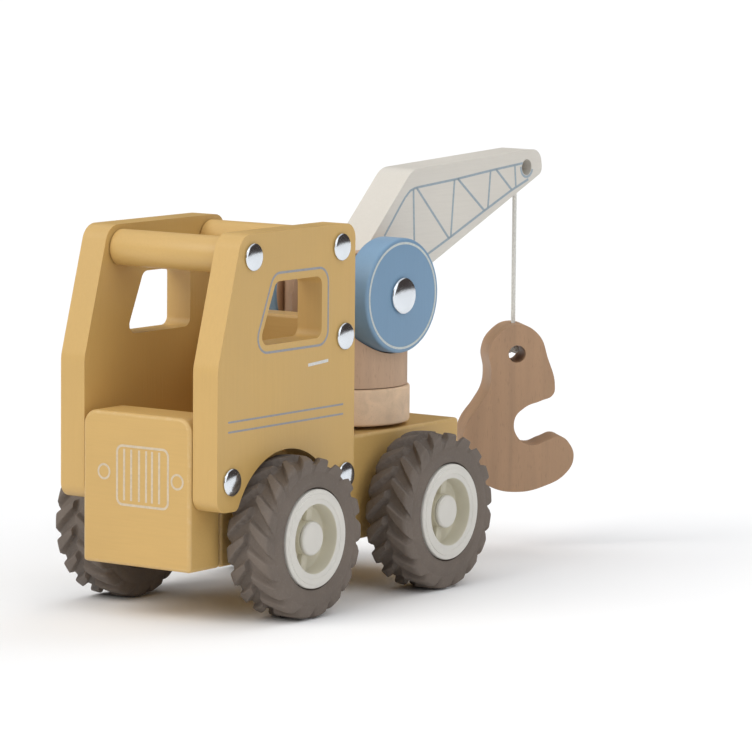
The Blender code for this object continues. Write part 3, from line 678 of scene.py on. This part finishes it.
def make_bolts():
    profile = dome(BOLT_HEAD_RADIUS, BOLT_HEAD_HEIGHT) + [
        (BOLT_SHANK_RADIUS, 0.0), (BOLT_SHANK_RADIUS, -BOLT_LENGTH), (0.0, -BOLT_LENGTH)]
    for label, side in SIDES:
        for spot, (distance, height) in BOLTS.items():
            name = f"bolt_{spot}_{label}"
            mesh = turned(f"{name}_chrome", profile, 48)
            seat = Vector((side * (PANEL_OUTER + 0.15 * MM), FRONT_Y + distance, height))
            piece(f"{name}_chrome", mesh, "truck", CHROME, (name,),
                  Matrix.Translation(seat) @ across(side))


def make_box(node, materials):
    low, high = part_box(node)
    obj = piece(f"{node}_wood", block(f"{node}_wood", low, high), "truck", materials,
                (node,))
    soften(obj, EDGE)


def make_grille_block():
    low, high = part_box("grille_block")
    outline = rounded([(low.x, low.z, 0), (high.x, low.z, 0), (high.x, high.z, GRILLE_CORNER),
                       (low.x, high.z, GRILLE_CORNER)])
    mesh = upright(slab("grille_block_wood", [outline], high.y - low.y), 0.0)
    mesh.transform(Matrix.Translation((0.0, (low.y + high.y) / 2, 0.0)))
    obj = piece("grille_block_wood", mesh, "truck", OCHRE_CROSS, ("grille_block",))
    soften(obj, EDGE)


def make_dowels():
    for end in ("front", "rear"):
        low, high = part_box(f"{end}_dowel")
        half = (high.x - low.x) / 2
        mesh = turned(f"{end}_dowel_wood", rounded(
            [(0.0, half, 0), (DOWEL_RADIUS, half, 0.4 * MM), (DOWEL_RADIUS, -half, 0.4 * MM),
             (0.0, -half, 0)], 4), 64)
        place = Matrix.Translation((low + high) / 2) @ across(1)
        piece(f"{end}_dowel_wood", mesh, "truck", OCHRE_LONG, (f"{end}_dowel",), place)


def on_side(side):
    return lambda u, v, height: (side * (PANEL_OUTER + height), FRONT_Y + u, v)


def make_side_prints():
    ring = evenly_rounded([(19.5, 86.9), (60.0, 86.9), (60.0, 112.2), (30.4, 112.2)], PRINT_CORNER)
    stripes = [([(6.6 * MM, z * MM), (68.7 * MM, z * MM)], 0.6 * MM, False) for z in (66.3, 63.1)]
    for label, side in SIDES:
        mesh = ribbons("side_print", [(ring, 0.75 * MM, True), *stripes], on_side(side))
        piece(f"side_print_{label}", mesh, "truck", BODY_INK)
        handle = [([(49.2 * MM, 80.9 * MM), (60.2 * MM, 81.5 * MM)], 1.0 * MM, False)]
        piece(f"door_handle_print_{label}", ribbons("door_handle_print", handle, on_side(side)),
              "truck", HANDLE_INK)


def make_grille_print():
    frame_line = evenly_rounded([(-7.8, 37.4), (13.0, 37.4), (13.0, 56.5), (-7.8, 56.5)], 2.2 * MM)
    bars = [([(x * MM, 38.8 * MM), (x * MM, 55.5 * MM)], 0.8 * MM, False)
            for x in (-4.9, -2.0, 1.2, 4.1, 6.5, 9.4)]
    lamps = [(circle((x * MM, z * MM), 2.3 * MM, 36), 0.7 * MM, True)
             for x, z in ((-13.2, 47.5), (16.7, 46.6))]
    mesh = ribbons("grille_print", [(frame_line, 0.8 * MM, True), *bars, *lamps],
                   lambda u, v, height: (u, FRONT_Y - height, v))
    piece("grille_print", mesh, "truck", GRILLE_INK)


def make_cab():
    make_box("chassis", OCHRE_LONG)
    make_box("rear_wall", OCHRE_CROSS)
    make_grille_block()
    make_dowels()
    for label, side in SIDES:
        make_side_panel(label, side)
    make_bolts()
    make_side_prints()
    make_grille_print()


make_cab()


# ---------------------------------------------------------------- wheels

LUGS = 18
LUG_LEAD = -0.38                # how far a lug's middle end runs ahead of its shoulder end, radians
TREAD_COLUMNS = LUGS * 26
LUG_START = {"front": 0.5, "rear": 0.13}


def half_section(points, steps):
    """Points spread evenly along a (distance from the middle plane, radius) line, in millimetres."""
    points = np.array(points) * MM
    run = np.concatenate([[0.0], np.cumsum(np.linalg.norm(np.diff(points, axis=0), axis=1))])
    at = np.linspace(0.0, run[-1], steps)
    return np.stack([np.interp(at, run, points[:, k]) for k in range(2)], axis=1)


def step_between(value, low, high):
    t = np.clip((value - low) / (high - low), 0.0, 1.0)
    return t * t * (3 - 2 * t)


def tyre_mesh(name, start):
    """Farm tyre: two rows of lugs, half a pitch apart, that slant away from each other;
    start turns them, in pitches."""
    steps = 30
    tread = half_section([(0.0, 26.35), (4.5, 26.3), (7.3, 26.0), (8.15, 25.4), (8.4, 24.3),
                          (8.4, 22.6), (8.25, 21.7)], steps)
    groove = half_section([(0.0, 24.2), (4.0, 24.1), (6.2, 24.1), (7.4, 23.9), (8.0, 23.0),
                           (8.15, 22.0), (8.2, 21.6)], steps)
    wall = np.array([(8.42, 21.3), (8.45, 19.2), (8.42, 18.6), (8.3, 18.2), (8.3, 17.2), (8.2, 16.75),
                     (7.6, 16.7), (7.2, 16.6), (6.9, 16.3), (6.9, 14.95)]) * MM
    share = np.linspace(0.0, 1.0, steps)
    column = np.arange(TREAD_COLUMNS) / TREAD_COLUMNS * LUGS
    rings = []
    for row in (1, -1):
        phase = (column + (0.25 if row > 0 else 0.75)) % 1.0 - 0.5
        half_width = 0.15 + 0.25 * share[:, None]
        edge = np.where(phase > 0, 0.03, 0.1)[None, :]
        lug = 1 - step_between(np.abs(phase)[None, :], half_width - edge, half_width + edge)
        lug = lug * step_between(share[:, None], 0.02, 0.06)
        section = groove[:, None, :] + lug[:, :, None] * (tread - groove)[:, None, :]
        side = np.repeat(wall[:, None, :], TREAD_COLUMNS, axis=1)
        rings.append(np.concatenate([section, side]))
        rings[-1][..., 0] *= row
    outer, inner = rings
    lead = LUG_LEAD * np.concatenate([1 - share, np.zeros(len(wall))])
    surface = np.concatenate([inner[::-1], outer[1:]])
    ahead = np.concatenate([lead[::-1], lead[1:]])
    angle = ((column - start) / LUGS * math.tau)[None, :] + ahead[:, None]
    radius, height = surface[..., 1], surface[..., 0]
    points = np.stack([radius * np.cos(angle), radius * np.sin(angle), height], axis=-1).reshape(-1, 3)
    rows = surface.shape[0]
    faces = []
    for i in range(rows):
        below = (i + 1) % rows
        for k in range(TREAD_COLUMNS):
            after = (k + 1) % TREAD_COLUMNS
            faces.append((i * TREAD_COLUMNS + k, i * TREAD_COLUMNS + after,
                          below * TREAD_COLUMNS + after, below * TREAD_COLUMNS + k))
    mesh = mesh_of(name, points, faces)
    smooth(mesh, 60)
    return mesh


HUB_RECESS_RADIUS = 11.3 * MM
HUB_RECESS_X = 38.6 * MM
HUB_BOSS_RADIUS = 5.6 * MM
HUB_BOSS_X = 41.4 * MM
HUB_INNER_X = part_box("hub_front_left")[0].x
RIM_RADIUS = 14.3 * MM
RIM_LIP_RADIUS = 16.15 * MM
SPOKE_ANGLES = (170.0, 350.0)
SPOKE_X = 40.4 * MM
SPOKE_WIDTH = 3.0 * MM
HUB_BORE_RADIUS = 2.3 * MM
HUB_SLEEVE_RADIUS = 5.0 * MM
RIM_STEP = 0.22 * MM            # height of the rim's fine steps
RIM_BAND = (13.0 * MM, 14.7 * MM)
CAP_SPIGOT_RADIUS = 2.0 * MM
CAP_SPIGOT_LENGTH = 0.7 * MM


def hub_mesh(name):
    """Rim with fine concentric steps, a deep recess, a boss and two ribs."""
    lip_x = TYRE_OUTER_X - 1.2 * MM
    barrel_x = TYRE_INNER_X + 1.2 * MM
    low_x = RIM_FACE_X - RIM_STEP
    crisp, fine = 0.1 * MM, 0.3 * MM
    profile = rounded([
        (HUB_BORE_RADIUS, HUB_BOSS_X, 0), (HUB_BOSS_RADIUS, HUB_BOSS_X, fine),
        (HUB_BOSS_RADIUS, HUB_RECESS_X, fine), (HUB_RECESS_RADIUS - 0.5 * MM, HUB_RECESS_X, 0.8 * MM),
        (HUB_RECESS_RADIUS, low_x, 0.5 * MM),
        (RIM_BAND[0] - 0.1 * MM, low_x, crisp), (RIM_BAND[0], RIM_FACE_X, crisp),
        (RIM_BAND[1], RIM_FACE_X, crisp), (RIM_BAND[1] + 0.1 * MM, low_x, crisp),
        (RIM_LIP_RADIUS, RIM_FACE_X - 1.2 * RIM_STEP, 0.5 * MM), (RIM_LIP_RADIUS, lip_x, crisp),
        (RIM_RADIUS, lip_x, crisp), (RIM_RADIUS, barrel_x, 0.5 * MM),
        (HUB_SLEEVE_RADIUS, barrel_x, 0.2 * MM),
        (HUB_SLEEVE_RADIUS, HUB_INNER_X, fine), (HUB_BORE_RADIUS, HUB_INNER_X, 0)], 5)
    mesh = turned(name, profile, 96, ring=True)
    bm = bmesh.new()
    bm.from_mesh(mesh)
    for angle in SPOKE_ANGLES:
        made = bmesh.ops.create_cube(bm, size=1.0)
        reach = HUB_RECESS_RADIUS + 0.6 * MM
        inner = HUB_BOSS_RADIUS - 0.6 * MM
        bmesh.ops.scale(bm, vec=(reach - inner, SPOKE_WIDTH, SPOKE_X - HUB_RECESS_X + 1 * MM),
                        verts=made["verts"])
        bmesh.ops.translate(bm, vec=((reach + inner) / 2, 0, (SPOKE_X + HUB_RECESS_X - 1 * MM) / 2),
                            verts=made["verts"])
        bmesh.ops.rotate(bm, matrix=Matrix.Rotation(math.radians(angle), 3, "Z"), verts=made["verts"])
        bmesh.ops.bevel(bm, geom=list({e for v in made["verts"] for e in v.link_edges}), offset=0.4 * MM,
                        segments=3, profile=0.5, affect="EDGES")
    bm.to_mesh(mesh)
    bm.free()
    smooth(mesh)
    return mesh


def paint_recess_shade(mesh):
    """Give the faces inside the rim a darker, warmer copy of the plastic: painted shade in the recess."""
    for face in mesh.polygons:
        inside = face.center.xy.length < HUB_RECESS_RADIUS + 0.1 * MM
        face.material_index = int(inside and face.center.z > HUB_RECESS_X - 1 * MM)


def cap_mesh(name):
    seat = HUB_BOSS_X + CLEARANCE
    profile = [(0.0, HUB_CAP_X)] + rounded([
        (HUB_BOSS_RADIUS * 0.6, HUB_CAP_X, 0), (HUB_BOSS_RADIUS, HUB_CAP_X, 0.8 * MM),
        (HUB_BOSS_RADIUS, seat, 0.15 * MM), (CAP_SPIGOT_RADIUS, seat, 0)], 6) + [
        (CAP_SPIGOT_RADIUS, seat - CAP_SPIGOT_LENGTH), (0.0, seat - CAP_SPIGOT_LENGTH)]
    return turned(name, profile, 64)


def make_wheels():
    for end, place in AXLES.items():
        for label, side in SIDES:
            body = f"{end}_wheels"
            spot = f"{end}_{label}"
            seat = Matrix.Translation((0.0, place.y, place.z)) @ across(side)
            middle = (TYRE_INNER_X + TYRE_OUTER_X) / 2
            tyre = tyre_mesh(f"tyre_{spot}_rubber", LUG_START[end])
            if side < 0:
                tyre.transform(Matrix.Scale(-1.0, 4, (0.0, 1.0, 0.0)))
                tyre.flip_normals()
            piece(f"tyre_{spot}_rubber", tyre, body, RUBBER, (f"tyre_{spot}",),
                  seat @ Matrix.Translation((0.0, 0.0, middle)))
            hub = piece(f"hub_{spot}_plastic", hub_mesh(f"hub_{spot}_plastic"), body,
                        PLASTIC, (f"hub_{spot}",), seat)
            paint_recess_shade(hub.data)
            piece(f"hub_cap_{spot}_plastic", cap_mesh(f"hub_cap_{spot}_plastic"), body,
                  PLASTIC[0], (f"hub_cap_{spot}",), seat)


make_wheels()


# ---------------------------------------------------------------- crane

POST_RADIUS = 21.1 * MM
POST_FLAT_X = 14.4 * MM
POST_SHOULDER_RADIUS = 19.1 * MM
DIAL_POCKET_RADIUS = 19.8 * MM
SLOT_HALF_WIDTH = 7.3 * MM
SLOT_FLOOR_Z = 87.8 * MM
CUT_MARGIN = 4.0 * MM
SWIVEL_BORE_RADIUS = 3.3 * MM
PIVOT_BOLT_RADIUS = 3.0 * MM
PIVOT_BORE_RADIUS = PIVOT_BOLT_RADIUS + CLEARANCE
PIVOT_HEAD_RADIUS = 6.2 * MM
PIVOT_HEAD_HEIGHT = 1.8 * MM
DIAL_THICKNESS = 10.0 * MM
DIAL_RADIUS = 19.4 * MM
DIAL_INNER_X = POST_FLAT_X + CLEARANCE
DIAL_PRINT_RADIUS = 17.7 * MM


def make_turntable_ring():
    low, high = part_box("turntable_ring")
    edge = 1.0 * MM
    radius = (high.x - low.x) / 2
    mesh = turned("turntable_ring_wood", rounded(
        [(SWIVEL_BORE_RADIUS, high.z, 0), (radius, high.z, edge), (radius, low.z, edge),
         (SWIVEL_BORE_RADIUS, low.z, 0)], 6), 128, ring=True)
    piece("turntable_ring_wood", mesh, "crane", RING_BEECH, ("turntable_ring",),
          CRANE_FRAME)


def make_post():
    low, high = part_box("post")
    far = POST_RADIUS + CUT_MARGIN
    top = high.z + CUT_MARGIN
    mesh = turned("post_wood", [(0.0, high.z), (POST_RADIUS, high.z), (POST_RADIUS, low.z),
                                (0.0, low.z)], 96)
    post = piece("post_wood", mesh, "crane", POST_BEECH, ("post",), CRANE_FRAME)
    slot = block("slot", (-SLOT_HALF_WIDTH, -far, SLOT_FLOOR_Z), (SLOT_HALF_WIDTH, far, top))
    cut(post, slot, "slot")
    for side in (-1, 1):
        pocket = turned("pocket", [(0.0, far), (DIAL_POCKET_RADIUS, far),
                                   (DIAL_POCKET_RADIUS, POST_FLAT_X), (0.0, POST_FLAT_X)], 96)
        pocket.transform(Matrix.Translation((0.0, 0.0, PIVOT_Z)) @ across(side))
        cut(post, pocket, "pocket")
    shoulders = [(far, PIVOT_Z), (far, top), (-far, top), (-far, PIVOT_Z)]
    shoulders += arc((0.0, PIVOT_Z), POST_SHOULDER_RADIUS, math.pi, 0.0, 48)
    cut(post, upright(slab("shoulders", [shoulders], 2 * far), math.pi / 2), "shoulders")
    bore = turned("bore", [(0.0, far), (PIVOT_BORE_RADIUS, far), (PIVOT_BORE_RADIUS, -far),
                           (0.0, -far)], 32)
    bore.transform(Matrix.Translation((0.0, 0.0, PIVOT_Z)) @ across(1))
    cut(post, bore, "bore")
    soften(post, 0.5 * MM, 3)


BOOM_HALF = 7.0 * MM
BOOM_RISE = math.radians(24.2)  # slope of the underside in the rest pose
BOOM_BACK = math.radians(45.0)  # slope of the lower back, where it leaves the root
BOOM_ROOT_RADIUS = 9.0 * MM
BOOM_TIP = 100.8 * MM
BOOM_NOSE = (99.6 * MM, 43.9 * MM)
BOOM_BEND = (26.9 * MM, 40.1 * MM)
LATTICE_WIDTH = 0.85 * MM
LATTICE_LOOP_RADIUS = 3.4 * MM


def underside(reach):
    """Height of the boom's underside, from the pivot, at a distance along the boom."""
    return reach * math.tan(BOOM_RISE) - BOOM_ROOT_RADIUS / math.cos(BOOM_RISE)


def boom_outline():
    """Boom seen from the side: round root, straight underside, blunt tip and a bent back."""
    root = arc((0, 0), BOOM_ROOT_RADIUS, BOOM_RISE - math.pi / 2, BOOM_BACK - 3 * math.pi / 2, 40)
    return rounded([(*BOOM_NOSE, 5.0 * MM), (BOOM_TIP, underside(BOOM_TIP), 3.0 * MM)]
                   + [(u, v, 0) for u, v in root] + [(*BOOM_BEND, 9.0 * MM)], 14)


def make_boom():
    holes = [circle((0.0, 0.0), PIVOT_BORE_RADIUS, 32), circle(BOOM_HOLE, BOOM_HOLE_RADIUS, 40)]
    mesh = upright(slab("boom_wood", [boom_outline(), *holes], 2 * BOOM_HALF), math.pi / 2)
    boom = piece("boom_wood", mesh, "boom", CREAM_PAINT, ("boom",), BOOM_FRAME)
    below = underside(BOOM_HOLE[0]) - 3 * MM
    bore = turned("string_bore", [(0.0, BOOM_HOLE[1]), (STRING_BORE_RADIUS, BOOM_HOLE[1]),
                                  (STRING_BORE_RADIUS, below), (0.0, below)], 20)
    bore.transform(Matrix.Translation((0.0, STRING_TOP.xy.length, 0.0)))
    cut(boom, bore, "string_bore")
    paint(boom.data, CREAM_PAINT)
    soften(boom, 1.0 * MM)


def make_boom_prints():
    """Printed lattice on both faces: two chords, uprights, slants and a loop round the tip's hole."""
    def line(*points, wide=LATTICE_WIDTH):
        return ([(u * MM, v * MM) for u, v in points], wide, False)

    loop = arc(BOOM_HOLE, LATTICE_LOOP_RADIUS, math.radians(-185), math.radians(-15), 30)
    top = [(11.8, 18.2), (20.3, 27.9), (23.0, 30.8), (25.7, 32.9), (28.0, 33.6), (30.1, 33.9),
           (50.7, 35.5), (73.9, 37.8), (89.2, 39.1)]
    low = [(28.0, 7.5), (37.1, 11.1), (47.1, 15.1), (67.3, 23.6), (82.8, 29.9), (92.6, 33.3)]

    def strut(high, foot):
        """From the top chord to the low one, at two distances along the boom."""
        return line((high, np.interp(high, *zip(*top))), (foot, np.interp(foot, *zip(*low))))

    lines = [
        line(*top, wide=0.8 * MM), line(*low),
        strut(27.5, 28.5), strut(50.3, 48.5), strut(70.7, 69.4), strut(84.7, 85.4),
        strut(29.2, 47.4), strut(52.1, 67.4), strut(73.8, 83.1),
        (loop, LATTICE_WIDTH, False)]
    for label, side in SIDES:
        mesh = ribbons(f"boom_print_{label}", lines,
                       lambda u, v, height: (side * (BOOM_HALF + height), u, v))
        piece(f"boom_print_{label}", mesh, "boom", BOOM_INK, place=BOOM_FRAME)


def make_dials():
    edge = 1.0 * MM
    for label, side in SIDES:
        place = BOOM_FRAME @ Matrix.Translation((side * DIAL_INNER_X, 0.0, 0.0)) @ across(side)
        mesh = turned(f"dial_{label}_wood", rounded(
            [(PIVOT_BORE_RADIUS, DIAL_THICKNESS, 0), (DIAL_RADIUS, DIAL_THICKNESS, edge),
             (DIAL_RADIUS, 0.0, edge), (PIVOT_BORE_RADIUS, 0.0, 0)], 6), 128, ring=True)
        piece(f"dial_{label}_wood", mesh, "boom", (BLUE_PAINT, DIAL_BEECH),
              (f"dial_{label}",), place)
        for face in mesh.polygons:
            face.material_index = int(face.normal.z < -0.9)
        ring = ribbons(f"dial_print_{label}", [(circle((0.0, 0.0), DIAL_PRINT_RADIUS, 128), 0.75 * MM, True)],
                       lambda u, v, height: (u, v, DIAL_THICKNESS + height))
        piece(f"dial_print_{label}", ring, "boom", DIAL_INK, place=place)


def make_pivot_bolt():
    seat = DIAL_INNER_X + DIAL_THICKNESS + 0.1 * MM
    for name, side, length in (("pivot_bolt", 1, 2 * seat - 4 * MM), ("pivot_nut", -1, 3 * MM)):
        mesh = turned(f"{name}_chrome", dome(PIVOT_HEAD_RADIUS, PIVOT_HEAD_HEIGHT) + [
            (PIVOT_BOLT_RADIUS, 0.0), (PIVOT_BOLT_RADIUS, -length), (0.0, -length)], 64)
        piece(f"{name}_chrome", mesh, "boom", CHROME, (name,),
              BOOM_FRAME @ Matrix.Translation((side * seat, 0.0, 0.0)) @ across(side))


HOOK_HOLE_RADIUS = 3.1 * MM
HOOK_THICKNESS = 14.0 * MM
HOOK_OUTLINE = (                # across from the string, height; millimetres, clockwise
    (0.0, 79.9), (7.4, 76.6), (11.3, 67.5), (13.9, 58.0), (13.2, 54.6), (9.0, 52.6),
    (3.0, 50.2), (-0.7, 45.8), (0.9, 39.2), (6.0, 36.6), (11.2, 38.2), (16.2, 39.6),
    (19.4, 37.2), (21.1, 32.0), (18.4, 26.5), (10.4, 21.9), (0.0, 20.0), (-9.2, 22.0),
    (-16.6, 27.6), (-19.8, 36.0), (-17.7, 45.0), (-12.8, 52.1), (-10.0, 57.2), (-9.3, 63.0),
    (-10.1, 70.2), (-7.0, 76.4))


def make_hook():
    outline = [(u * MM, v * MM) for u, v in HOOK_OUTLINE]
    hole = circle((0.0, HOOK_HOLE_Z), HOOK_HOLE_RADIUS, 40)
    mesh = upright(slab("hook_wood", [hole], HOOK_THICKNESS, bezier=[outline]), 0.0)
    hook = piece("hook_wood", mesh, "hook", HOOK_BEECH, ("hook",), HOOK_FRAME)
    above = 90.0 * MM
    bore = turned("hook_bore", [(0.0, above), (STRING_BORE_RADIUS, above),
                                (STRING_BORE_RADIUS, HOOK_HOLE_Z), (0.0, HOOK_HOLE_Z)], 20)
    cut(hook, bore, "hook_bore")
    paint(hook.data, HOOK_BEECH)
    soften(hook, 1.5 * MM)


def make_crane():
    make_turntable_ring()
    make_post()
    make_boom()
    make_boom_prints()
    make_dials()
    make_pivot_bolt()
    make_hook()


make_crane()


# ---------------------------------------------------------------- kept CAD nodes and studio

def finish_kept_nodes():
    for name in ("front_axle", "rear_axle", "swivel_bolt", "swivel_washer"):
        node = frame["nodes"][name]
        paint(node.data, STEEL)


def sun(name, towards, strength, spread, colour=(1.0, 1.0, 1.0), glossy=True):
    """Broad distant lamp, placed on the side it shines from."""
    data = bpy.data.lights.new(name, "SUN")
    data.energy = strength
    data.angle = math.radians(spread)
    data.color = colour
    light = add_object(name, data)
    light.location = towards
    light.rotation_euler = Vector(towards).to_track_quat("Z", "Y").to_euler()
    light.visible_glossy = glossy


def make_world():
    """Dim warm surroundings up to 35 degrees above the horizon, and a bright ceiling."""
    world = bpy.data.worlds.new("studio")
    bpy.context.scene.world = world
    world.use_nodes = True
    tree = world.node_tree
    place = tree.nodes.new("ShaderNodeTexCoord")
    split = tree.nodes.new("ShaderNodeSeparateXYZ")
    tree.links.new(place.outputs["Generated"], split.inputs["Vector"])
    sky = ramp(tree, split.outputs["Z"], (0.57, (0.075, 0.06, 0.055)), (0.62, (0.95, 0.97, 1.0)))
    background = tree.nodes["Background"]
    tree.links.new(sky, background.inputs["Color"])
    background.inputs["Strength"].default_value = 0.9


FLOOR_REACH = 25.0


def make_studio():
    floor_mesh = block("studio_floor", (-FLOOR_REACH, -FLOOR_REACH, -0.02), (FLOOR_REACH, FLOOR_REACH, 0.0))
    floor = add_object("studio_floor", floor_mesh)
    floor_mesh.materials.append(new_material("pale_floor", (0.93, 0.93, 0.93), 0.9)[0])
    make_world()
    sun("key", (-0.5, -1.3, 1.03), 1.68, 45.0, (1.0, 0.98, 0.95))
    sun("fill", (1.5, -0.5, 0.73), 0.9, 55.0, (0.96, 0.98, 1.0))
    sun("back", (0.2, 1.5, 1.13), 0.75, 55.0, glossy=False)
    bpy.context.scene.view_settings.view_transform = "Standard"


finish_kept_nodes()
make_studio()
